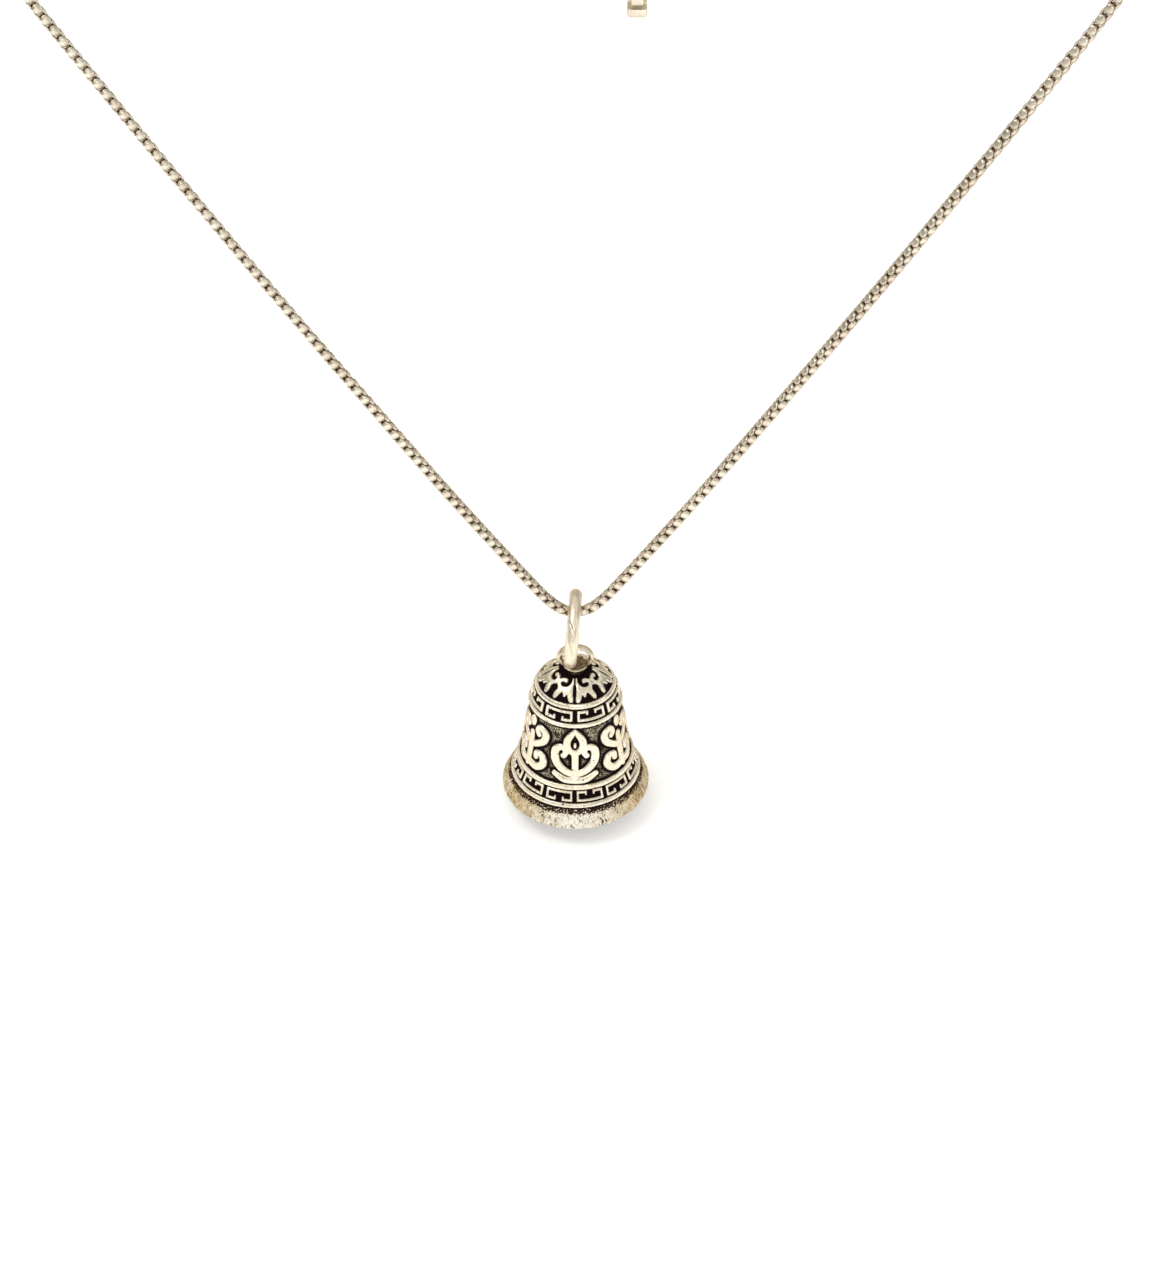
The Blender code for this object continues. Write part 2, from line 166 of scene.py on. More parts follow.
class Look:
    """A Principled material and short ways to add nodes to it."""

    def __init__(self, name):
        self.material = bpy.data.materials.new(name)
        self.material.use_nodes = True
        self.tree = self.material.node_tree
        self.shader = self.tree.nodes["Principled BSDF"]
        coordinates = self.tree.nodes.new("ShaderNodeTexCoord")
        self.object_place = coordinates.outputs["Object"]

    def node(self, kind, **inputs):
        """A new node, with its sockets as links or as plain values."""
        made = self.tree.nodes.new(kind)
        for key, value in inputs.items():
            self.put(made.inputs[key.replace("_", " ")], value)
        return made

    def put(self, socket, value):
        """A link or a plain value into a socket."""
        if isinstance(value, bpy.types.NodeSocket):
            self.tree.links.new(value, socket)
        elif socket.type == "RGBA" and len(value) == 3:
            socket.default_value = (*value, 1.0)
        else:
            socket.default_value = value

    def attribute(self, name):
        """A value that add_values has put on the mesh."""
        made = self.tree.nodes.new("ShaderNodeAttribute")
        made.attribute_name = name
        return made.outputs["Fac"]

    def noise(self, scale, detail=3.0, roughness=0.55, stretch=None):
        """Noise with a scale in features per mm."""
        where = self.object_place
        if stretch:
            mapping = self.node("ShaderNodeMapping", Vector=where)
            mapping.inputs["Scale"].default_value = stretch
            where = mapping.outputs["Vector"]
        made = self.node(
            "ShaderNodeTexNoise", Vector=where, Scale=scale / MM, Detail=detail,
            Roughness=roughness,
        )
        return made.outputs["Fac"]

    def ramp(self, value, low, high, start=0.0, end=1.0):
        """A clamped linear change from start at low to end at high."""
        made = self.tree.nodes.new("ShaderNodeMapRange")
        self.put(made.inputs["Value"], value)
        made.inputs["From Min"].default_value = low
        made.inputs["From Max"].default_value = high
        made.inputs["To Min"].default_value = start
        made.inputs["To Max"].default_value = end
        return made.outputs["Result"]

    def math(self, operation, a, b=0.0):
        """A math node's result."""
        made = self.tree.nodes.new("ShaderNodeMath")
        made.operation = operation
        self.put(made.inputs[0], a)
        self.put(made.inputs[1], b)
        return made.outputs["Value"]

    def blend(self, factor, a, b):
        """Colour a turning to colour b."""
        made = self.tree.nodes.new("ShaderNodeMix")
        made.data_type = "RGBA"
        self.put(made.inputs[0], factor)
        self.put(made.inputs[6], a)
        self.put(made.inputs[7], b)
        return made.outputs[2]

    def bump(self, height, strength, distance, normal=None):
        """A normal bent by a height, its distance in mm."""
        made = self.node("ShaderNodeBump", Height=height, Strength=strength)
        made.inputs["Distance"].default_value = distance * MM
        if normal is not None:
            self.put(made.inputs["Normal"], normal)
        return made.outputs["Normal"]

    def finish(self, **values):
        """Sockets of the shader, as links or as plain values."""
        for key, value in values.items():
            self.put(self.shader.inputs[key.replace("_", " ")], value)
        return self.material


CREAM = (0.89, 0.80, 0.625)
PALE = (0.96, 0.905, 0.78)
BEIGE = (0.60, 0.52, 0.42)
BROWN = (0.075, 0.035, 0.02)
BLACK = (0.010, 0.0045, 0.006)
EDGE_TINT = (0.58, 0.46, 0.32)  # tarnished silver loses light where it is seen edge-on


def polished_silver(name, pit=0.0, warm=CREAM, dented=1.0):
    """Hand-polished silver: soft dents, fine scratches and a few dark specks."""
    look = Look(name)
    broad = look.noise(0.55, 2.0)
    fine = look.noise(3.2, 4.0)
    lines = look.noise(2.6, 3.0, 0.6, (1.0, 1.0, 0.12))
    colour = look.blend(look.ramp(broad, 0.35, 0.7), warm, PALE)
    tint = look.ramp(fine, 0.60, 0.72, 0.0, 0.40)
    colour = look.blend(tint, colour, BEIGE)
    colour = look.blend(look.ramp(lines, 0.56, 0.70, 0.0, 0.60), colour, (0.66, 0.56, 0.40))
    specks = look.ramp(look.noise(4.5, 2.0, 0.4), 0.70 - pit, 0.76 - pit)
    colour = look.blend(look.math("MULTIPLY", specks, 0.8), colour, BROWN)
    colour = look.blend(look.ramp(look.attribute("seam"), 0.25, 0.85, 0.0, 0.8), colour, BROWN)
    rough = look.math(
        "ADD", look.ramp(lines, 0.35, 0.7, 0.32, 0.46), look.math("MULTIPLY", specks, 0.25)
    )
    normal = look.bump(broad, 0.9 * dented, 0.12)
    normal = look.bump(lines, 0.35 * dented, 0.03, normal)
    return look.finish(
        Base_Color=colour, Metallic=1.0, Roughness=rough, Normal=normal, Specular_Tint=EDGE_TINT,
    )


def bell_silver():
    """Oxidised cast silver: polished relief over a black ground, and a mottled lip that a painted
    highlight makes pale on its front, gilt round its sides and back.
    """
    look = Look("bell_silver")
    raised = look.ramp(look.attribute("raised"), 0.30, 0.68)
    stipple = look.attribute("stipple")
    lip = look.attribute("lip")
    lip_front_highlight = look.attribute("lip_front_highlight")
    broad = look.noise(0.45, 2.0)
    fine = look.noise(4.2, 3.0, 0.6)
    grain = look.noise(6.5, 2.0, 0.5)
    # relief tops
    top = look.blend(look.ramp(broad, 0.35, 0.68), CREAM, PALE)
    top = look.blend(look.ramp(fine, 0.60, 0.74, 0.0, 0.35), top, BEIGE)
    pits = look.ramp(look.noise(3.4, 1.0, 0.4), 0.715, 0.75)
    top = look.blend(pits, top, BROWN)
    # ground: black close to the relief, punched and half polished in the open fields
    speck = look.ramp(grain, 0.45, 0.57)
    patch = look.ramp(look.noise(0.9, 2.0), 0.32, 0.50)
    open_ground = look.math("MULTIPLY", look.math("MULTIPLY", speck, patch), stipple)
    sheen = look.ramp(look.noise(1.6, 2.0), 0.55, 0.75, 0.0, 0.12)
    ground = look.blend(sheen, BLACK, (0.05, 0.035, 0.04))
    ground = look.blend(open_ground, ground, (0.52, 0.46, 0.33))
    colour = look.blend(raised, ground, top)
    # lip: a painted highlight makes its front pale, gilt round the sides and back
    mottle = look.noise(1.1, 5.0, 0.7)
    streak = look.noise(3.0, 3.0, 0.65, (1.0, 1.0, 0.28))
    wear_and_light = look.blend(look.ramp(mottle, 0.38, 0.58), (0.88, 0.80, 0.64), (1.0, 0.98, 0.92))
    gilt = look.blend(look.ramp(mottle, 0.38, 0.64), (0.46, 0.34, 0.16), (0.88, 0.72, 0.44))
    # painted highlight: the lip's front takes the pale colour, its sides and back the gilt
    lip_colour = look.blend(lip_front_highlight, gilt, wear_and_light)
    streaked = look.ramp(streak, 0.55, 0.63, 0.0, 0.85)
    lip_colour = look.blend(streaked, lip_colour, (0.30, 0.22, 0.13))
    lip_colour = look.blend(look.ramp(grain, 0.61, 0.69, 0.0, 0.9), lip_colour, BROWN)
    shade = look.attribute("lip_shade")
    edge = look.math("MULTIPLY", look.math("SUBTRACT", look.noise(4.6, 2.0), 0.5), 3.2)
    edge = look.ramp(look.math("ADD", shade, edge), 0.36, 0.60)
    edge = look.math("MULTIPLY", edge, look.ramp(shade, 0.02, 0.25))
    lip_colour = look.blend(edge, lip_colour, (0.040, 0.018, 0.012))
    colour = look.blend(lip, colour, lip_colour)
    bright = look.math("MAXIMUM", raised, open_ground)
    metal = look.math("MAXIMUM", bright, look.math("MULTIPLY", lip, 0.4))
    rough = look.ramp(bright, 0.0, 1.0, 0.62, 0.27)
    rough = look.math("ADD", rough, look.ramp(fine, 0.4, 0.7, -0.03, 0.12))
    rough = look.math("ADD", rough, look.math("MULTIPLY", lip, 0.10))
    grainy = look.math("MULTIPLY", grain, look.ramp(raised, 0.0, 1.0, 1.0, 0.3))
    normal = look.bump(grainy, 0.55, 0.05)
    normal = look.bump(broad, 0.4, 0.05, normal)
    return look.finish(
        Base_Color=colour, Metallic=metal, Roughness=rough, Normal=normal,
        Specular_IOR_Level=0.04, Specular_Tint=EDGE_TINT,
    )


def chain_silver():
    """Antiqued silver links: bright faces, brown in the gaps. Their brightness value mixes real
    oxide with painted light: a painted highlight on the middles of the plates, and painted shade
    at the plate ends, on the bends and on the links' inner faces.
    """
    look = Look("chain_silver")
    wear_and_light = look.attribute("wear_and_light")
    fine = look.noise(2.2, 3.0)
    broad = look.noise(0.16, 2.0)
    face = look.blend(look.ramp(broad, 0.35, 0.65), (0.78, 0.70, 0.57), (0.90, 0.83, 0.70))
    face = look.blend(look.ramp(fine, 0.54, 0.70, 0.0, 0.22), face, (0.50, 0.41, 0.31))
    # brown where the brightness value is low: oxide and painted shade in the gaps and inside the
    # links
    colour = look.blend(wear_and_light, (0.075, 0.030, 0.016), face)
    rough = look.ramp(fine, 0.3, 0.7, 0.24, 0.42)
    normal = look.bump(fine, 0.25, 0.02)
    return look.finish(
        Base_Color=colour, Metallic=look.ramp(wear_and_light, 0.0, 0.6, 0.35, 1.0), Roughness=rough,
        Normal=normal, Specular_IOR_Level=0.2, Specular_Tint=EDGE_TINT,
    )


def loop_silver():
    """The crown loop: bright on its wire, brown oxide towards its foot."""
    look = Look("loop_silver")
    tarnish = look.attribute("tarnish")
    fine = look.noise(2.4, 4.0, 0.6)
    colour = look.blend(look.ramp(fine, 0.38, 0.66), CREAM, (0.74, 0.66, 0.52))
    oxide = look.blend(look.ramp(fine, 0.36, 0.56), (0.045, 0.022, 0.012), (0.34, 0.26, 0.16))
    colour = look.blend(tarnish, colour, oxide)
    rough = look.ramp(fine, 0.3, 0.7, 0.30, 0.46)
    return look.finish(
        Base_Color=colour, Metallic=1.0, Roughness=rough, Normal=look.bump(fine, 0.5, 0.04),
        Specular_Tint=EDGE_TINT,
    )


def clapper_silver():
    """Plain silver gone slightly grey inside the bell."""
    look = Look("clapper_silver")
    fine = look.noise(1.6, 4.0, 0.6)
    turned = look.noise(5.0, 2.0, 0.5, (0.15, 0.15, 1.0))
    colour = look.blend(look.ramp(fine, 0.36, 0.66), (0.70, 0.65, 0.56), (0.40, 0.34, 0.27))
    rough = look.ramp(turned, 0.3, 0.7, 0.22, 0.42)
    normal = look.bump(turned, 0.3, 0.02)
    return look.finish(Base_Color=colour, Metallic=1.0, Roughness=rough, Normal=normal)


def spring_steel():
    """Drawn steel wire, grey and a little brushed."""
    look = Look("spring_steel")
    fine = look.noise(3.0, 3.0, 0.6, (1.0, 1.0, 0.3))
    colour = look.blend(look.ramp(fine, 0.35, 0.65), (0.50, 0.50, 0.50), (0.66, 0.66, 0.66))
    return look.finish(
        Base_Color=colour, Metallic=1.0, Roughness=look.ramp(fine, 0.3, 0.7, 0.25, 0.40),
        Normal=look.bump(fine, 0.2, 0.02),
    )


def backdrop_white():
    """Matt white card with a very slight tooth."""
    look = Look("floor_white")
    tooth = look.noise(0.05, 3.0)
    colour = look.blend(look.ramp(tooth, 0.3, 0.7), (0.93, 0.93, 0.93), (0.95, 0.95, 0.95))
    return look.finish(
        Base_Color=colour, Roughness=0.9, Specular_IOR_Level=0.1,
        Emission_Color=(1.0, 1.0, 1.0), Emission_Strength=0.36,
    )


RING_LOOK = polished_silver("ring_silver")
CLASP_LOOK = polished_silver("clasp_silver", -0.04, (0.80, 0.745, 0.63), 0.3)
BELL_LOOK = bell_silver()
CHAIN_LOOK = chain_silver()
LOOP_LOOK = loop_silver()
CLAPPER_LOOK = clapper_silver()
STEEL_LOOK = spring_steel()


# ---------------------------------------------------------------- chain

CHAIN_WIDTH = 1.2
LINK_PITCH = 0.76
LINK_BEND = 0.22  # inner radius of a link's corners
STRIP_THICK = 0.29
RUBBED_IN_RING = 0.19  # share that the links inside the pendant ring have lost
RUBBED_REACH = 1.4  # mm each way
PLATE_RUNS = (0.0, 0.20, 0.31, 0.42, 0.53)
PLATE_HALF_WIDTHS = (0.49, 0.49, 0.46, 0.38, 0.27)
# Brightness along a link's plate: a painted highlight on its middle, a dark line of painted shade
# where the bend starts, and dimmer painted shade on the bend.
PLATE_WEAR_AND_LIGHT = (1.0, 1.0, 0.60, 0.80, 0.62)
LEG = (
    (1.5, 0.36), (3.2, 1.75), (5.8, 5.05), (14.6, 17.45), (24.6, 32.3), (34.0, 46.5),
    (42.6, 59.9), (50.7, 72.7), (58.2, 84.9),
)
SHOULDER = (
    (64.2, 96.0), (67.0, 106.4), (63.8, 118.0), (54.6, 125.8), (43.2, 127.6), (32.2, 123.6),
    (18.6, 111.2),
)
LEFT_END = ((2.913, -1.95, 90.791), (1.534, -1.95, 92.239), (-3.985, -1.95, 98.03))
RIGHT_END = ((10.0, 0.0, 106.74), (6.8, 0.0, 101.14), (6.8, 0.0, 99.14))


def chain_route():
    """The chain's centreline in mm: left end, shoulder, the V, shoulder, right end."""
    side = LEG + SHOULDER
    left = [(-x, 0.0, height) for x, height in reversed(side)]
    right = [(x, 0.0, height) for x, height in side]
    return [*LEFT_END, *left, (0.0, 0.0, 0.0), *right, *RIGHT_END]


def link_section():
    """A strip's rounded outline as (across the strip, outwards, brightness), each from -1 to 1.
    The brightness is low on the inner face, which is oxide with painted shade inside the link.
    """
    return (
        (-1.0, -0.6, 0.72), (-0.97, 0.50, 0.92), (-0.78, 0.92, 1.0), (0.0, 1.0, 1.0),
        (0.78, 0.92, 1.0), (0.97, 0.50, 0.92), (1.0, -0.6, 0.72), (0.0, -1.0, 0.20),
    )


def link_ring():
    """A box link's middle line as (along the chain, across, outward along, outward across).
    Its four sides are joined by wide bends."""
    half_along = LINK_PITCH / 2 + STRIP_THICK / 2
    half_across = CHAIN_WIDTH / 2 - STRIP_THICK / 2
    ring = []
    for quarter in range(4):
        for turn in (3.0, 30.0, 60.0, 87.0):
            angle = math.radians(90.0 * quarter + turn)
            out = (math.cos(angle), math.sin(angle))
            corner = (
                math.copysign(half_along - LINK_BEND, math.cos(angle)),
                math.copysign(half_across - LINK_BEND, math.sin(angle)),
            )
            ring.append((corner[0] + LINK_BEND * out[0], corner[1] + LINK_BEND * out[1], *out))
        if quarter in (0, 2):
            side = 1.0 if quarter == 0 else -1.0
            for along in (0.19, -0.19):
                ring.append((side * along, side * (half_across + 0.01), 0.0, side))
    return ring


def link_half_width(along):
    """A link's strip is widest in the middle of its outer plates and narrow where it passes
    through its neighbours."""
    return float(np.interp(abs(along), PLATE_RUNS, PLATE_HALF_WIDTHS))


def chain_turn(run):
    """How far the links are turned about the chain, in degrees from facing up and forward,
    at a run in mm from the pendant ring, left of it negative."""
    stops = (-300.0, -92.0, -55.0, -42.0, -30.0, -12.0, 0.0, 2.0, 3.0, 12.0, 26.0, 48.0, 74.0,
             91.0, 110.0, 300.0)
    turns = (90.0, 90.0, 88.0, 75.0, 63.0, 56.0, 50.0, 50.0, 66.0, 67.0, 58.0, 42.0, 33.0,
             18.0, 5.0, 0.0)
    return np.radians(np.interp(run, stops, turns))


def build_chain():
    """About 570 square links, each turned a quarter from the last."""
    route = chain_route()
    line = catmull(route, 24)
    steps = np.linalg.norm(np.diff(line, axis=0), axis=1)
    run = np.concatenate([[0.0], np.cumsum(steps)])
    middle = run[(len(route) // 2) * 24]
    count = int(run[-1] // LINK_PITCH)
    pitch = run[-1] / count
    centre = (np.arange(count) + 0.5) * pitch
    at = np.stack([np.interp(centre, run, line[:, k]) for k in range(3)], 1)
    ahead = np.stack([np.interp(centre + 0.2, run, line[:, k]) for k in range(3)], 1)
    behind = np.stack([np.interp(centre - 0.2, run, line[:, k]) for k in range(3)], 1)
    along = ahead - behind
    along /= np.linalg.norm(along, axis=1)[:, None]
    facing = np.array([0.0, -0.766, 0.643])
    front = facing - (along @ facing)[:, None] * along
    front /= np.linalg.norm(front, axis=1)[:, None]
    side = np.cross(along, front)
    turn = chain_turn(centre - middle)[:, None]
    random = np.random.default_rng(7)
    turn = turn + np.radians(random.normal(0.0, 2.2, (count, 1)))
    quarter = (np.arange(count) % 2)[:, None] * (math.pi / 2)
    u = np.cos(turn + quarter) * side + np.sin(turn + quarter) * front
    v = np.cos(turn + quarter) * front - np.sin(turn + quarter) * side

    ring, section = link_ring(), link_section()
    n, m = len(ring), len(section)
    local = np.zeros((n * m, 3))
    wear_and_light = np.zeros(n * m)
    for i, (a, b, out_a, out_b) in enumerate(ring):
        wide = link_half_width(a)
        # painted highlight and shade along the plate, times oxide and painted shade across the
        # strip
        plate_wear_and_light = float(np.interp(abs(a), PLATE_RUNS, PLATE_WEAR_AND_LIGHT))
        for j, (across, outwards, face_wear_and_shade) in enumerate(section):
            lift = outwards * STRIP_THICK / 2
            local[i * m + j] = (a + lift * out_a, b + lift * out_b, across * wide)
            wear_and_light[i * m + j] = face_wear_and_shade * plate_wear_and_light
    faces = []
    for i in range(n):
        for j in range(m):
            i2, j2 = (i + 1) % n, (j + 1) % m
            faces.append((i * m + j, i2 * m + j, i2 * m + j2, i * m + j2))
    faces = np.array(faces)
    # the links inside the pendant ring are rubbed thinner, and it turns clear of their corners
    rubbed_thin = 1.0 - RUBBED_IN_RING * np.exp(-(((centre - middle) / RUBBED_REACH) ** 2))
    u, v = u * rubbed_thin[:, None], v * rubbed_thin[:, None]
    vertices = (
        at[:, None, :]
        + local[None, :, 0:1] * along[:, None, :]
        + local[None, :, 1:2] * u[:, None, :]
        + local[None, :, 2:3] * v[:, None, :]
    ).reshape(-1, 3)
    vertices = to_frame(vertices)
    faces = (faces[None] + (np.arange(count) * n * m)[:, None, None]).reshape(-1, 4)
    links = add_mesh("box_chain_links", vertices, faces, CHAIN_LOOK)
    outward(links)
    add_values(links, "wear_and_light", np.tile(wear_and_light, count))
    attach(links, "chain")
    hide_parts("box_chain")
    path = to_frame(catmull(route, 4))
    length = float(np.linalg.norm(np.diff(path, axis=0), axis=1).sum())
    return links, path, length


chain, chain_path, chain_length = build_chain()


# ---------------------------------------------------------------- rings

def wire_ring(name, centre, axis, major, wire, material, steps, wobble, marks=(),
              flatten=(1.0, 1.0)):
    """A closed wire ring in mm, a little uneven by hand, with its nicks and seams. flatten
    stretches it across and along its axis."""
    across, around = steps
    axis = Vector(axis).normalized()
    first = axis.orthogonal().normalized()
    if abs(axis.z) < 0.9:
        first = (Vector((0, 0, 1)) - axis * axis.z).normalized()
    second = axis.cross(first)
    a = np.linspace(0, 2 * math.pi, across, endpoint=False)[:, None]
    b = np.linspace(0, 2 * math.pi, around, endpoint=False)[None, :]
    uneven = wobble * (
        np.sin(3 * a + 0.7) * np.cos(2 * b) + 0.8 * np.sin(7 * a + 2 * b + 1.1)
        + 0.6 * np.cos(13 * a - 3 * b)
    )
    radius = wire + uneven
    mark = np.zeros(uneven.shape)
    for angle, slant, depth, wide, facing, spread in marks:
        where = (a - math.radians(angle) - slant * np.sin(b) + math.pi) % (2 * math.pi) - math.pi
        off = (b - math.radians(facing) + math.pi) % (2 * math.pi) - math.pi
        cut = np.exp(-((where * major / wide) ** 2) - (off / math.radians(spread)) ** 2)
        radius = radius - depth * cut
        mark = np.maximum(mark, cut * min(depth / 0.06, 1.0))
    out = (major + radius * np.cos(b)) * flatten[0]
    lift = radius * np.sin(b) * flatten[1]
    first, second, axis = (np.array(v) for v in (first, second, axis))
    spots = (
        np.array(centre)
        + (out * np.cos(a))[..., None] * first
        + (out * np.sin(a))[..., None] * second
        + lift[..., None] * axis
    ).reshape(-1, 3)
    made = add_mesh(name, to_frame(spots), grid_faces(across, around, True), material)
    outward(made)
    add_values(made, "seam", mark)
    return made


# Nicks and solder seams of the pendant ring: (degrees round the ring from its top, slant, depth,
# half width, degrees round the wire, spread there in degrees); 90 degrees is the front.
RING_MARKS = (
    (50.0, 0.24, 0.07, 0.12, -15.0, 34.0), (59.0, -0.30, 0.05, 0.10, -2.0, 22.0),
    (82.0, 0.55, 0.06, 0.12, -10.0, 40.0), (232.0, 0.1, 0.05, 0.09, 0.0, 200.0),
)
RING_MAJOR = 4.25
RING_WIRE = 0.8
RING_TOP = 1.44
RING_YAW = math.radians(3.0)
RING_LEAN = math.radians(4.0)
ring_down = Vector((-math.sin(RING_LEAN), 0.0, -math.cos(RING_LEAN)))
ring_level = Vector((math.sin(RING_YAW), math.cos(RING_YAW), 0.0))
ring_level = (ring_level - ring_down * ring_level.dot(ring_down)).normalized()
ring_axis = ring_down.cross(ring_level)
ring_centre = Vector((0.0, 0.0, RING_TOP)) + ring_down * RING_MAJOR
ring = wire_ring(
    "pendant_ring_polished", ring_centre, ring_axis, RING_MAJOR, RING_WIRE,
    RING_LOOK, (240, 56), 0.012, RING_MARKS,
)
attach(ring, "ring")
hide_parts("pendant_ring")


# ---------------------------------------------------------------- bell

RELIEF = 0.33  # depth of the ground below the relief
DOME_RADIUS = 5.2
DOME_HEIGHT = 3.2
DOME_BASE = 11.6
DOME_POWER = 1.43
CROWN_FLAT = 33.0  # degrees of the dome's curve where its flat crown begins
WALL = (
    (5.42, 11.9), (6.03, 14.1), (6.1, 14.4), (6.5, 18.0), (7.05, 21.5), (7.6, 23.3),
    (7.7, 23.9), (8.5, 25.9), (8.72, 26.4), (9.28, 27.3), (9.55, 27.85), (9.58, 28.15),
    (9.46, 28.45), (9.3, 28.62),
)
INSIDE = (
    (9.1, 28.65), (8.25, 28.65), (8.1, 28.45), (7.95, 28.2), (7.55, 27.0), (6.9, 24.5),
    (6.2, 21.5), (5.5, 18.0), (4.95, 14.5), (4.2, 12.4), (3.0, 10.9), (1.6, 10.3),
)
RUN_START = 25.0  # degrees of the dome's curve where the run along the profile is 0
DOME_POINTS = 60


def envelope():
    """The bell's outer profile at the tops of its relief, as runs, radii and depths in mm."""
    turn = np.radians(np.linspace(RUN_START, 90.0, DOME_POINTS))
    radius = DOME_RADIUS * np.sin(turn) ** DOME_POWER
    depth = DOME_BASE - DOME_HEIGHT * np.cos(turn).clip(0.0) ** DOME_POWER
    radius = np.concatenate([radius, [p[0] for p in WALL]])
    depth = np.concatenate([depth, [p[1] for p in WALL]])
    run = np.concatenate([[0.0], np.cumsum(np.hypot(np.diff(radius), np.diff(depth)))])
    return run, radius, depth


def polygon_distance(x, y, corners):
    """Signed distance to a closed polygon, negative inside."""
    corners = np.array(corners, float)
    best = np.full(x.shape, 1e9)
    inside = np.zeros(x.shape, bool)
    for (ax, ay), (bx, by) in zip(corners, np.roll(corners, -1, 0)):
        dx, dy = bx - ax, by - ay
        t = np.clip(((x - ax) * dx + (y - ay) * dy) / max(dx * dx + dy * dy, 1e-12), 0, 1)
        best = np.minimum(best, (x - ax - t * dx) ** 2 + (y - ay - t * dy) ** 2)
        if ay != by:
            cross = ax + (y - ay) * dx / dy
            inside ^= ((ay > y) != (by > y)) & (x < cross)
    best = np.sqrt(best)
    return np.where(inside, -best, best)


def stroke_distance(x, y, points, widths):
    """Signed distance to a brush stroke through points, with a half width at each."""
    best = np.full(x.shape, 1e9)
    for (a, b), (wa, wb) in zip(zip(points, points[1:]), zip(widths, widths[1:])):
        dx, dy = b[0] - a[0], b[1] - a[1]
        t = np.clip(((x - a[0]) * dx + (y - a[1]) * dy) / max(dx * dx + dy * dy, 1e-12), 0, 1)
        away = np.hypot(x - a[0] - t * dx, y - a[1] - t * dy) - (wa + (wb - wa) * t)
        best = np.minimum(best, away)
    return best


def brush(points, widths, samples=5):
    """A smoothed stroke: its points and half widths."""
    line = catmull([(*p, w) for p, w in zip(points, widths)], samples)
    return line[:, :2], line[:, 2]


# One eighth of the dome's leafwork, from a rib's middle at 0 degrees to between ribs at 45,
# as (degrees, run in mm).
DOME_LEAF = (
    (0.0, 0.0), (9.0, 0.3), (7.6, 0.9), (8.6, 1.3), (12.0, 1.62), (18.0, 1.93), (26.0, 2.02),
    (32.0, 1.95), (35.6, 1.74), (35.0, 1.56), (32.0, 1.46), (28.5, 1.47), (25.0, 1.52),
    (21.6, 1.46), (19.6, 1.27), (20.0, 1.02), (23.0, 0.86), (30.0, 0.82), (38.0, 0.97),
    (42.0, 1.14), (46.0, 1.2), (46.0, 2.1), (42.4, 2.14), (38.8, 2.34), (36.8, 2.62),
    (38.2, 2.92), (39.0, 3.3), (38.2, 3.72), (35.6, 3.94), (32.2, 3.87), (30.2, 3.52),
    (27.8, 3.12), (25.2, 2.84), (22.8, 2.94), (21.3, 3.2), (19.2, 3.4), (16.6, 3.37),
    (15.2, 3.12), (13.8, 3.06), (12.8, 3.32), (11.0, 3.72), (8.2, 3.98), (4.6, 4.02),
    (2.0, 3.92), (1.4, 3.5), (2.6, 3.1), (3.2, 2.6), (3.2, 2.0), (2.2, 1.66), (0.0, 1.6),
)
DOME_SHIFT = -1.5  # degrees that the leafwork sits to the left of the front
DEGREE_ON_DOME = 0.073  # mm


def dome_distance(angle, run, radius):
    """Signed distance to the dome's leafwork, in mm; angle in degrees."""
    quarter = (angle - DOME_SHIFT + 45.0) % 90.0 - 45.0
    folded = np.abs(quarter)
    corners = [(a * DEGREE_ON_DOME, s) for a, s in DOME_LEAF]
    leaf = polygon_distance(folded * DEGREE_ON_DOME, run, corners)
    groove = 0.055 - folded * np.radians(1.0) * radius
    return np.maximum(leaf, np.where(run < 1.7, groove, -9.0))


# The two bands of frets: how many units, the runs of their edges, the width of their lines, the
# bell's radius there in mm, and the degrees that they are shifted round.
FRET_GAP = 0.56
UPPER_FRET = {"units": 8, "low": 5.13, "high": 6.66, "line": 0.40, "radius": 5.72, "shift": -0.6}
LOWER_FRET = {
    "units": 12, "low": 17.06, "high": 18.52, "line": 0.345, "radius": 8.08, "shift": -1.0,
}


def fret_distance(angle, run, units, low, high, line, radius, shift):
    """Signed distance to a band of square fret units with curled feet, alternately turned
    over."""
    pitch = 360.0 / units
    unit = (angle - shift) / pitch
    index = np.floor(unit)
    x = (unit - index - 0.5) * np.radians(pitch) * radius
    half = np.radians(pitch) * radius / 2 - 0.5 * FRET_GAP
    height = high - low
    over = (index.astype(int) % 2) == 0
    y = np.where(over, high - run, run - low)
    x = np.abs(x)
    h = line / 2
    top, foot = h, height - h
    inner = 0.30 * half
    strokes = (
        ((0.0, top), (half - h, top)),
        ((half - h, top), (half - h, foot)),
        ((half - h, foot), (inner, foot)),
        ((inner, foot), (inner, foot - 0.20 * height)),
    )
    best = np.full(x.shape, 1e9)
    for n, ((ax, ay), (bx, by)) in enumerate(strokes):
        reach = h if n < 3 else 0.85 * h
        low_x, high_x = np.minimum(ax, bx) - reach, np.maximum(ax, bx) + reach
        low_y, high_y = np.minimum(ay, by) - reach, np.maximum(ay, by) + reach
        box_x = np.maximum(low_x - x, x - high_x)
        box_y = np.maximum(low_y - y, y - high_y)
        box = np.where(
            (box_x > 0) & (box_y > 0), np.hypot(box_x, box_y), np.maximum(box_x, box_y)
        )
        best = np.minimum(best, box)
    return best


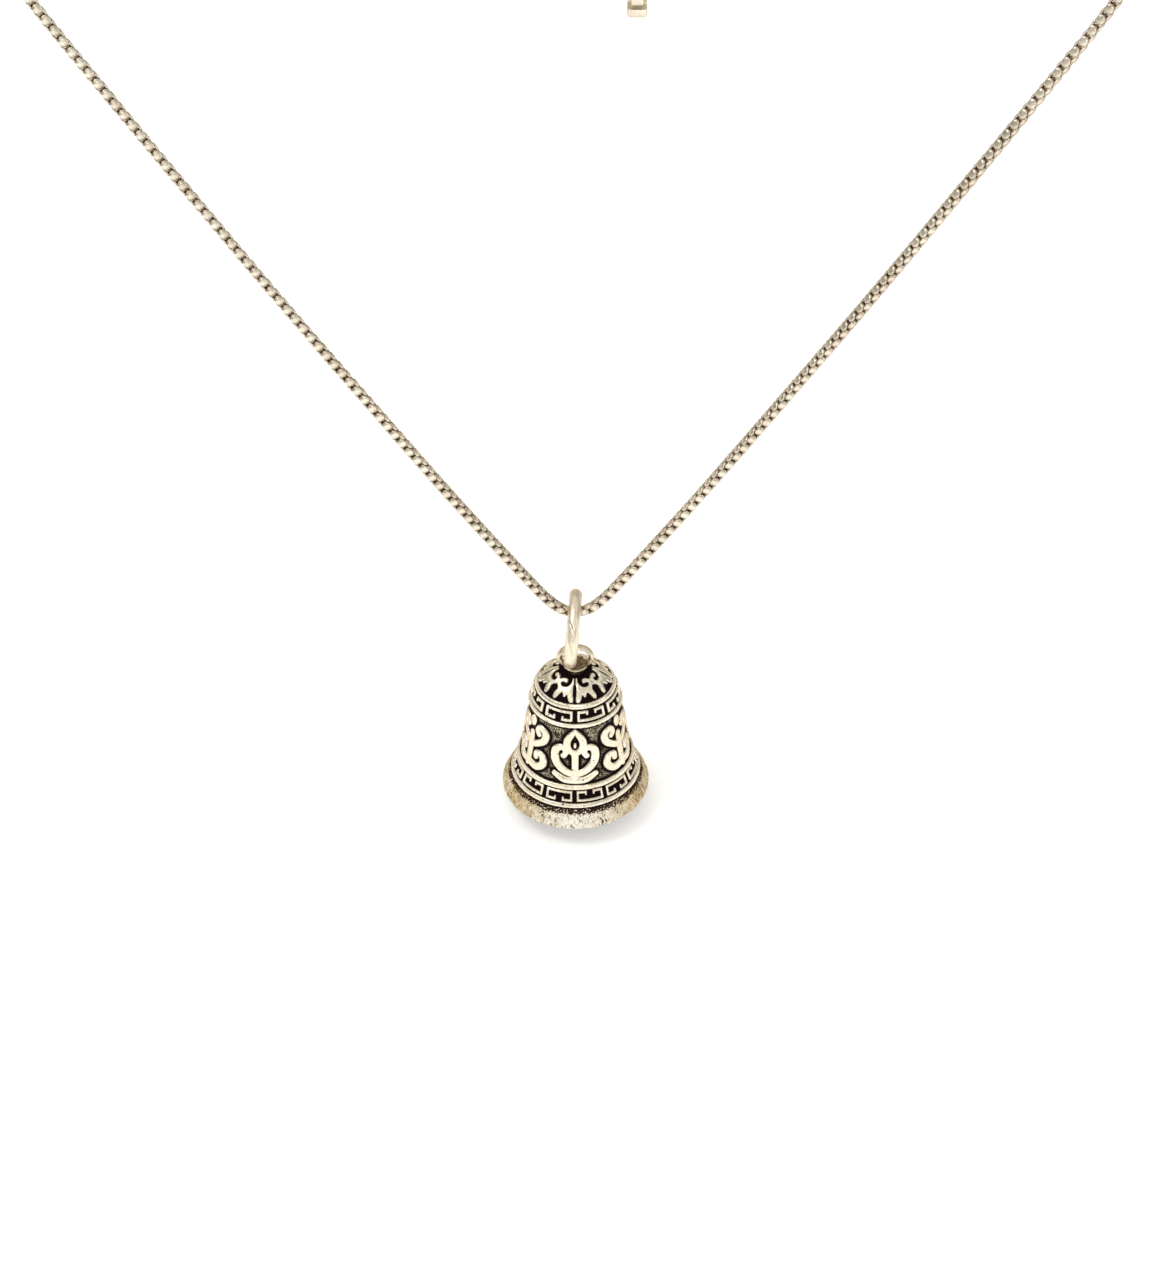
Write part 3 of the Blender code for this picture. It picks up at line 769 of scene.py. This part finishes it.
def lotus_motif():
    """A closed bud over two curled leaves and a crescent, as brushed strokes in mm."""
    mirrored = []
    for sign in (-1.0, 1.0):
        mirrored += [
            brush(
                [(0.0, 2.9), (sign * 1.3, 2.35), (sign * 2.3, 1.1), (sign * 2.35, -0.5),
                 (sign * 1.6, -1.15), (sign * 1.05, -0.55), (sign * 1.35, 0.1)],
                [0.42, 0.46, 0.50, 0.46, 0.40, 0.33, 0.36],
            ),
            brush(
                [(0.0, -0.2), (sign * 0.82, -1.0), (sign * 0.92, -2.1), (sign * 0.45, -3.1),
                 (0.0, -3.75)],
                [0.36, 0.40, 0.42, 0.36, 0.22],
            ),
            brush(
                [(0.0, 3.75), (sign * 1.3, 3.62), (sign * 2.45, 3.0)],
                [0.40, 0.42, 0.34],
            ),
        ]
    stem = brush([(0.0, -0.3), (0.0, 1.2), (0.0, 3.7)], [0.42, 0.38, 0.44])
    seed = brush([(0.0, -1.75), (0.0, -1.35)], [0.14, 0.16])
    return [*mirrored, stem, seed]


def cloud_motif():
    """Four curled clouds on a stem, as brushed strokes in mm."""
    strokes = []
    for sign in (-1.0, 1.0):
        strokes += [
            brush(
                [(0.0, 3.2), (sign * 1.5, 3.3), (sign * 2.4, 2.4), (sign * 2.1, 1.25),
                 (sign * 1.25, 1.3), (sign * 1.2, 1.95)],
                [0.44, 0.48, 0.48, 0.44, 0.36, 0.34],
            ),
            brush(
                [(0.0, 0.6), (sign * 1.1, -0.1), (sign * 2.1, -1.1), (sign * 2.2, -2.3),
                 (sign * 1.35, -2.75), (sign * 0.95, -2.05), (sign * 1.25, -1.6)],
                [0.42, 0.42, 0.46, 0.46, 0.40, 0.34, 0.32],
            ),
        ]
    strokes.append(brush([(0.0, 3.6), (0.0, 1.0), (0.0, -1.2)], [0.36, 0.44, 0.36]))
    strokes.append(brush([(0.0, -3.75), (0.0, -3.3), (0.0, -2.7)], [0.20, 0.48, 0.36]))
    return strokes


WAIST_MIDDLE = 11.78  # run
WAIST_HALF = 4.15
WAIST_WIDEN = 1.12
WAIST_BOLDER = 0.05


def waist_distance(angle, run, radius):
    """Signed distance to the waist's six ornaments, in mm."""
    motifs = (lotus_motif(), cloud_motif())
    best = np.full(angle.shape, 1e9)
    near = np.abs(run - WAIST_MIDDLE) < WAIST_HALF + 0.8
    for k in range(6):
        off = (angle - (60.0 * k - 0.5) + 180.0) % 360.0 - 180.0
        mine = near & (np.abs(off) < 38.0)
        x = np.radians(off[mine]) * radius[mine]
        y = run[mine] - WAIST_MIDDLE
        away = np.full(x.shape, 1e9)
        for points, widths in motifs[k % 2]:
            away = np.minimum(away, stroke_distance(x / WAIST_WIDEN, y, points, widths))
        best[mine] = np.minimum(best[mine], away - WAIST_BOLDER)
    return best


# Runs along the profile where each part of the relief lies.
RING_BANDS = ((4.12, 4.86), (6.92, 7.52), (16.15, 16.86), (18.74, 19.38))
DOME_END = 4.14
UPPER_FIELD = (4.9, 6.9)
WAIST_FIELD = (7.4, 16.2)
STIPPLE_FIELD = (7.5, 16.2)
LOWER_FIELD = (16.9, 18.7)
LIP_START = (19.42, 19.75)
RIM_DEPTH = 28.64  # the rim's lowest points, in mm
INSIDE_TOP_DEPTH = 10.2


def within(run, field):
    """Where a run lies between a field's two edges."""
    return (run > field[0]) & (run < field[1])


def wavy(angle, run, seed, count=9, fastest=60):
    """Smooth uneven values from -1 to 1 round the bell."""
    random = np.random.default_rng(seed)
    total = 0.0
    turn = np.radians(angle)
    for k in range(count):
        around = int(random.integers(2, fastest))
        slant = random.uniform(0.5, 6.0)
        total = total + np.sin(around * turn + slant * run + random.uniform(0, 6.28))
    return total / math.sqrt(count) / 1.4


LIP_DENTS = (
    (-27.0, 1.0, 0.16), (-16.0, 1.0, 0.12), (-38.0, 0.6, 0.10), (6.0, 0.5, 0.08),
    (21.0, 1.0, 0.13), (24.0, 0.8, 0.10), (57.0, 0.9, 0.12), (75.0, 0.7, 0.12),
    (104.0, 0.9, 0.14), (131.0, 0.6, 0.10), (160.0, 1.0, 0.14), (187.0, 0.7, 0.12),
    (214.0, 0.9, 0.14), (243.0, 0.6, 0.10), (268.0, 1.0, 0.13), (296.0, 0.8, 0.12),
)  # degrees, strength, half width in mm


def build_bell():
    """The bell: its relief is cut down from the outer profile, with a plain turned inside."""
    columns = 720
    step = 0.070
    run, radius, depth = envelope()
    flat = np.radians(CROWN_FLAT)
    dome_radii, dome_runs = radius[:DOME_POINTS - 1], run[:DOME_POINTS - 1]
    start = float(np.interp(DOME_RADIUS * math.sin(flat) ** DOME_POWER, dome_radii, dome_runs))
    rows = np.arange(start, run[-1], step)
    row_radius, row_depth = (np.interp(rows, run, v) for v in (radius, depth))
    slope_r = np.gradient(row_radius, rows)
    slope_d = np.gradient(row_depth, rows)
    norm = np.hypot(slope_r, slope_d)
    out_r, out_d = slope_d / norm, -slope_r / norm

    turn = np.linspace(0.0, 2 * math.pi, columns, endpoint=False)
    angle = np.degrees(turn)[None, :] * np.ones((len(rows), 1))
    where = rows[:, None] * np.ones((1, columns))
    around = row_radius[:, None] * np.ones((1, columns))
    signed = np.where(angle > 180.0, angle - 360.0, angle)

    away = np.full(angle.shape, 9.0)
    rounded = np.zeros(angle.shape)
    for low, high in RING_BANDS:
        shake = 0.018 * wavy(angle, where, int(low * 10))
        band = np.maximum(low + shake - where, where - high - shake)
        away = np.minimum(away, band)
        rounded = np.where(band < 0, 0.05 * np.sqrt((-band / 0.3).clip(0, 1)), rounded)
    dome = dome_distance(angle, where, around)
    away = np.where(where < DOME_END, np.minimum(away, dome), away)
    for part, relief in (
        (UPPER_FIELD, fret_distance(angle, where, **UPPER_FRET)),
        (LOWER_FIELD, fret_distance(angle, where, **LOWER_FRET)),
        (WAIST_FIELD, waist_distance(angle, where, around)),
    ):
        away = np.where(within(where, part), np.minimum(away, relief), away)
    lip = smooth(*LIP_START, where)
    away = away + 0.012 * wavy(angle, where, 3, 12, 140)

    raised = smooth(0.06, -0.10, away)
    lift = raised * (1.0 - lip) + lip * (0.55 + 0.45 * smooth(19.5, 20.6, where))
    crest = rounded + np.where(
        rounded == 0, 0.045 * raised * smooth(0.0, 0.42, -away) * (1.0 - lip), 0.0
    )
    rough = 0.012 * wavy(angle, where, 11, 14, 60) * (raised + lip)
    field = smooth(0.22, 0.60, away) * within(where, STIPPLE_FIELD)
    rough += 0.035 * field * wavy(angle, where * 3.0, 17, 16, 190)
    dents = np.zeros(angle.shape)
    for middle, strength, wide in LIP_DENTS:
        off = ((angle - middle + 180.0) % 360.0 - 180.0) * np.radians(1.0) * 9.3
        cut = np.exp(-((off + 0.12 * np.sin(4 * where)) / wide) ** 2)
        dents += strength * cut * smooth(20.0, 21.2, where)
    lip_wave = lip * (0.03 * wavy(angle, where * 0.3, 23, 8, 24) - 0.10 * dents)
    offset = -RELIEF * (1.0 - lift) + crest * 0.8 - 0.03 + rough + lip_wave

    new_radius = around + out_r[:, None] * offset
    new_depth = row_depth[:, None] + out_d[:, None] * offset
    new_depth = np.minimum(new_depth, RIM_DEPTH)
    outer = np.stack(
        [new_radius * np.sin(turn), -new_radius * np.cos(turn), -new_depth], -1
    )

    inner_line = np.array(INSIDE)
    inner_run = np.concatenate(
        [[0.0], np.cumsum(np.hypot(*np.diff(inner_line, axis=0).T))]
    )
    inner_rows = np.concatenate([inner_run[:3], np.arange(inner_run[3], inner_run[-1], 0.3)])
    inner_radius, inner_depth = (
        np.interp(inner_rows, inner_run, inner_line[:, k])[:, None] * np.ones((1, columns))
        for k in range(2)
    )
    chatter = 0.02 * wavy(
        np.degrees(turn)[None, :] * np.ones(inner_radius.shape), inner_rows[:, None] * 2.0, 31
    )
    inner_radius[3:] += chatter[3:]
    inner = np.stack([inner_radius * np.sin(turn), -inner_radius * np.cos(turn), -inner_depth], -1)

    crown_depth = float(row_depth[0])
    crown_radii = np.array([0.4, 0.9, 1.4, 1.8, float(row_radius[0]) - 0.14])
    crown = np.stack(
        [
            crown_radii[:, None] * np.sin(turn), -crown_radii[:, None] * np.cos(turn),
            -(crown_depth + RELIEF * 0.9) * np.ones((len(crown_radii), columns)),
        ],
        -1,
    )
    top = np.array([[0.0, 0.0, -(crown_depth + RELIEF * 0.9)]])
    under = np.array([[0.0, 0.0, -INSIDE_TOP_DEPTH]])
    rings = np.concatenate([crown, outer, inner]).reshape(-1, 3)
    spots = to_frame(np.concatenate([rings, top, under]))
    n_rings = len(crown_radii) + len(rows) + len(inner_rows)
    bell = add_mesh("bell_cast", spots, turned_faces(n_rings, columns), BELL_LOOK)
    outward(bell)

    before, after = len(crown_radii) * columns, len(inner_rows) * columns
    # a painted highlight on the front of the lip, fading round its sides, dimmer and uneven behind
    lip_highlight = 0.5 + 0.5 * np.cos(np.radians(signed - 2.0) * 2.6)
    lip_highlight_behind = 0.25 + 0.2 * wavy(angle, where * 0.2, 41, 6, 9)
    lip_highlight = np.where(np.abs(signed) > 69.0, lip_highlight_behind, lip_highlight)
    shade = smooth(20.5, 19.9, where) * (0.85 + 0.3 * wavy(angle, where * 4.0, 53, 10, 170))

    def padded(values, low, high):
        """The outside's values, with low on the crown and high inside the bell."""
        return np.concatenate(
            [np.full(before, low), values.ravel(), np.full(after, high), [low, high]]
        )

    add_values(bell, "raised", padded(raised * (1 - lip), 0.0, 0.0))
    add_values(bell, "stipple", padded(field, 0.0, 0.55))
    add_values(bell, "lip", padded(lip, 0.0, 0.0))
    add_values(bell, "lip_front_highlight", padded(lip_highlight.clip(0, 1), 0.0, 0.0))
    add_values(bell, "lip_shade", padded(shade + 0.55 * (dents.clip(0, 1)) * lip, 0.0, 0.0))
    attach(bell, "bell")
    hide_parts("bell_shell")
    return bell


bell = build_bell()


# ---------------------------------------------------------------- crown loop and clapper

def turned(name, profile, material, columns=96, samples=1, wobble=0.0):
    """A closed solid of revolution about the bell's axis, from (radius, depth) in mm, top to
    bottom, its first and last points on the axis."""
    line = catmull(profile, samples) if samples > 1 else np.array(profile, float)
    body = line[1:-1]
    turn = np.linspace(0.0, 2 * math.pi, columns, endpoint=False)
    uneven = wobble * wavy(np.degrees(turn)[None, :], body[:, 1:2] * 4.0, 5, 7, 14)
    around = body[:, 0:1].clip(0.02) + uneven
    spots = np.stack(
        [around * np.sin(turn), -around * np.cos(turn), -body[:, 1:2] * np.ones(around.shape)], -1
    ).reshape(-1, 3)
    ends = np.array([[0.0, 0.0, -line[0, 1]], [0.0, 0.0, -line[-1, 1]]])
    spots = to_frame(np.concatenate([spots, ends]))
    made = add_mesh(name, spots, turned_faces(len(body), columns), material)
    outward(made)
    return made


CROWN_DEPTH = 7.35
CROWN_FLATTEN = 0.76
LOOP_MAJOR = 2.05  # with the wire, its eye clears the pendant ring at every swing
LOOP_WIRE = 0.34
loop = wire_ring(
    "crown_loop_wire", (0.0, 0.0, -CROWN_DEPTH), (0.0, 1.0, 0.0), LOOP_MAJOR, LOOP_WIRE, LOOP_LOOK,
    (160, 40), 0.008, (), (1.0, 1.6),
)
middle = CONTACT_Z - CROWN_DEPTH * MM
tarnish = []
for point in loop.data.vertices:
    lift = point.co.z - middle
    point.co.z = middle + lift * CROWN_FLATTEN
    inner = 1.0 - math.hypot(point.co.x, lift) / (LOOP_MAJOR * MM)
    tarnish.append(float(smooth(-0.4, -1.5, lift / MM)) + 2.5 * max(inner, 0.0))
add_values(loop, "tarnish", np.clip(tarnish, 0.0, 1.0))
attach(loop, "bell")
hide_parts("crown_loop")

FOOT = (
    (0.0, 8.36), (0.5, 8.37), (1.1, 8.42), (1.36, 8.44), (1.52, 8.52), (1.56, 8.64),
    (1.46, 8.78), (1.28, 8.95), (1.22, 9.2), (1.24, 9.52), (0.8, 9.55), (0.0, 9.55),
)
FOOT_RIM = (1.55, 8.6)  # radius and depth of its bright rim
foot = turned("crown_foot", FOOT, LOOP_LOOK, 96, 3, 0.03)
rim = [
    math.hypot(
        math.hypot(v.co.x, v.co.y) / MM - FOOT_RIM[0], (CONTACT_Z - v.co.z) / MM - FOOT_RIM[1]
    )
    for v in foot.data.vertices
]
add_values(foot, "tarnish", 1.0 - 0.7 * smooth(0.30, 0.12, np.array(rim)))
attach(foot, "bell")

CLAPPER_WIRE = 0.24
EYE_DEPTH = 11.32
ROD_EYE_MAJOR = 0.8

eye = wire_ring(
    "clapper_eye_wire", (0.0, 0.0, -EYE_DEPTH), (0.0, 1.0, 0.0), 0.85, CLAPPER_WIRE,
    CLAPPER_LOOK, (80, 24), 0.006,
)
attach(eye, "bell")
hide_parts("clapper_eye")

link_low, link_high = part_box("clapper_link")
link_depth = depth_of((link_low.z + link_high.z) / 2)
link = wire_ring(
    "clapper_link_wire", (0.0, 0.0, -link_depth), (1.0, 0.0, 0.0), 0.95, CLAPPER_WIRE,
    CLAPPER_LOOK, (80, 24), 0.006,
)
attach(link, "link")
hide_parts("clapper_link")

rod_low, rod_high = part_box("clapper_rod")
rod_top, rod_end = depth_of(rod_high.z), depth_of(rod_low.z)
rod_eye_depth = rod_top + ROD_EYE_MAJOR + CLAPPER_WIRE
rod_eye = wire_ring(
    "clapper_rod_eye", (0.0, 0.0, -rod_eye_depth), (0.0, 1.0, 0.0), ROD_EYE_MAJOR,
    CLAPPER_WIRE, CLAPPER_LOOK, (80, 24), 0.006,
)
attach(rod_eye, "clapper")
neck = rod_eye_depth + 0.78
rod = turned(
    "clapper_rod_turned",
    [(0.0, neck), (0.22, neck), (0.33, neck + 0.12), (0.40, neck + 0.5), (0.40, neck + 1.2),
     (0.34, neck + 1.5), (0.40, neck + 1.8), (0.39, rod_end - 1.2), (0.40, rod_end - 0.2),
     (0.38, rod_end), (0.0, rod_end)],
    CLAPPER_LOOK, 48, 4, 0.004,
)
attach(rod, "clapper")
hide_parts("clapper_rod")

bob_low, bob_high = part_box("clapper_bob")
bob_top, bob_end = depth_of(bob_high.z), depth_of(bob_low.z)
bob_middle, bob_radius = (bob_top + bob_end) / 2, (bob_end - bob_top) / 2
bob_profile = [(0.0, bob_top + 0.02), (0.3, bob_top + 0.03)]
for degrees in range(18, 163, 6):
    swing = math.radians(degrees)
    groove = 0.05 * math.exp(-(((degrees - 90.0) / 5.0) ** 2))
    bob_profile.append(
        ((bob_radius - groove) * math.sin(swing), bob_middle - bob_radius * math.cos(swing))
    )
bob_profile += [(0.3, bob_end - 0.02), (0.0, bob_end - 0.01)]
bob = turned("clapper_bob_turned", bob_profile, CLAPPER_LOOK, 96, 2, 0.006)
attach(bob, "clapper")
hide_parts("clapper_bob")


# ---------------------------------------------------------------- clasp, end rings, caps

CLASP_X = 6.8
CLASP_NOSE = 83.0  # height
TAIL_EYE = 9.7  # middle of the eye in the clasp's tail, above the nose
WIRE_RISE = 0.33  # the clasp ring's wire, above that middle
CLASP_RING_MAJOR = 1.6
END_WIRE = 0.3
CATCH_TILT = math.radians(20.0)

clasp_ring_height = CLASP_NOSE + TAIL_EYE + WIRE_RISE + CLASP_RING_MAJOR
clasp_ring = wire_ring(
    "clasp_ring_wire", (CLASP_X, 0.0, clasp_ring_height), (0.0, 1.0, 0.0), CLASP_RING_MAJOR,
    END_WIRE,
    CLASP_LOOK, (120, 32), 0.006, ((75.0, 0.1, 0.03, 0.08, 0.0, 200.0),),
)
catch_ring = wire_ring(
    "catch_ring_wire", (CLASP_X, -1.95, 88.0), (math.sin(CATCH_TILT), 0.0, math.cos(CATCH_TILT)),
    2.0, END_WIRE, CLASP_LOOK, (120, 32), 0.006, ((140.0, 0.1, 0.03, 0.08, 0.0, 200.0),),
)
for piece, node in ((clasp_ring, "clasp_ring"), (catch_ring, "catch_ring")):
    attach(piece, "chain")
    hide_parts(node)


def refine(node, material, width):
    """A CAD node kept as it is, with a better material and softened edges."""
    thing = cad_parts[node]
    thing.data.materials.clear()
    thing.data.materials.append(material)
    thing.data.polygons.foreach_set("use_smooth", np.ones(len(thing.data.polygons), bool))
    weld = thing.modifiers.new("weld", "WELD")
    weld.merge_threshold = 0.002 * MM
    bevel = thing.modifiers.new("soft_edges", "BEVEL")
    bevel.width = width * MM
    bevel.segments = 3
    bevel.limit_method = "ANGLE"
    bevel.angle_limit = math.radians(38.0)
    bevel.harden_normals = False
    weighted = thing.modifiers.new("normals", "WEIGHTED_NORMAL")
    weighted.keep_sharp = False


for node, material, width in (
    ("clasp_body", CLASP_LOOK, 0.10), ("clasp_lever", CLASP_LOOK, 0.08),
    ("clasp_pin", STEEL_LOOK, 0.05), ("clasp_spring", STEEL_LOOK, 0.02),
    ("chain_end_cap_left", CLASP_LOOK, 0.08), ("chain_end_cap_right", CLASP_LOOK, 0.08),
):
    refine(node, material, width)


# ---------------------------------------------------------------- floor and light

FLOOR_Z = -0.1583  # a little under the hanging bell's rim
FLOOR_REACH = 3.0

floor_mesh = bpy.data.meshes.new("floor")
floor_mesh.from_pydata(
    [(-FLOOR_REACH, -FLOOR_REACH, FLOOR_Z), (FLOOR_REACH, -FLOOR_REACH, FLOOR_Z),
     (FLOOR_REACH, FLOOR_REACH, FLOOR_Z), (-FLOOR_REACH, FLOOR_REACH, FLOOR_Z)],
    [], [(0, 1, 2, 3)],
)
floor_mesh.materials.append(backdrop_white())
floor = bpy.data.objects.new("floor", floor_mesh)
bpy.context.scene.collection.objects.link(floor)

world = bpy.data.worlds.new("studio")
bpy.context.scene.world = world
world.use_nodes = True
sky = world.node_tree
background = sky.nodes["Background"]
direction = sky.nodes.new("ShaderNodeTexCoord")
split = sky.nodes.new("ShaderNodeSeparateXYZ")
sky.links.new(direction.outputs["Generated"], split.inputs["Vector"])


def sky_node(kind, operation, *values):
    """A math or colour node of the studio's surroundings."""
    made = sky.nodes.new(kind)
    made.operation = operation
    for socket, value in zip(made.inputs, values):
        if isinstance(value, bpy.types.NodeSocket):
            sky.links.new(value, socket)
        else:
            socket.default_value = value
    return made.outputs[0]


def sky_ramp(value, stops):
    """Grey levels along a value, at (position, level) stops."""
    made = sky.nodes.new("ShaderNodeValToRGB")
    ramp = made.color_ramp
    while len(ramp.elements) < len(stops):
        ramp.elements.new(0.5)
    for element, (position, level) in zip(ramp.elements, stops):
        element.position = position
        element.color = (level, level * 0.985, level * 0.95, 1.0)
    sky.links.new(value, made.inputs["Fac"])
    return made.outputs["Color"]


upward = sky_node("ShaderNodeMath", "MULTIPLY_ADD", split.outputs["Z"], 0.5, 0.5)
sideways = sky_node("ShaderNodeMath", "MULTIPLY_ADD", split.outputs["X"], 0.5, 0.5)
height_levels = sky_ramp(
    upward, ((0.0, 0.9), (0.48, 0.80), (0.56, 0.45), (0.68, 0.62), (0.82, 1.0))
)
side_levels = sky_ramp(
    sideways, ((0.0, 0.55), (0.16, 1.0), (0.46, 1.0), (0.62, 0.66), (0.80, 1.0), (1.0, 0.40))
)
tint = sky.nodes.new("ShaderNodeMix")
tint.data_type = "RGBA"
tint.blend_type = "MULTIPLY"
tint.inputs[0].default_value = 1.0
sky.links.new(height_levels, tint.inputs[6])
sky.links.new(side_levels, tint.inputs[7])
sky.links.new(tint.outputs[2], background.inputs["Color"])
background.inputs["Strength"].default_value = 0.88


def softbox(name, where, aim, size, power, colour=(1.0, 1.0, 1.0)):
    """A square area light."""
    data = bpy.data.lights.new(name, "AREA")
    data.shape = "RECTANGLE"
    data.size, data.size_y = size
    data.energy = power
    data.color = colour
    lamp = bpy.data.objects.new(name, data)
    lamp.location = where
    lamp.rotation_euler = (Vector(aim) - Vector(where)).to_track_quat("-Z", "Y").to_euler()
    bpy.context.scene.collection.objects.link(lamp)


BELL_MIDDLE = (0.0, 0.0, -0.145)
softbox("key", (-0.22, -0.05, 0.28), BELL_MIDDLE, (0.16, 0.16), 0.42, (1.0, 0.985, 0.96))
softbox("front", (0.06, -0.42, 0.10), BELL_MIDDLE, (0.22, 0.16), 0.34)
softbox("right", (0.38, -0.10, 0.02), BELL_MIDDLE, (0.10, 0.30), 0.12, (1.0, 0.97, 0.93))

bpy.context.scene.view_settings.view_transform = "Standard"
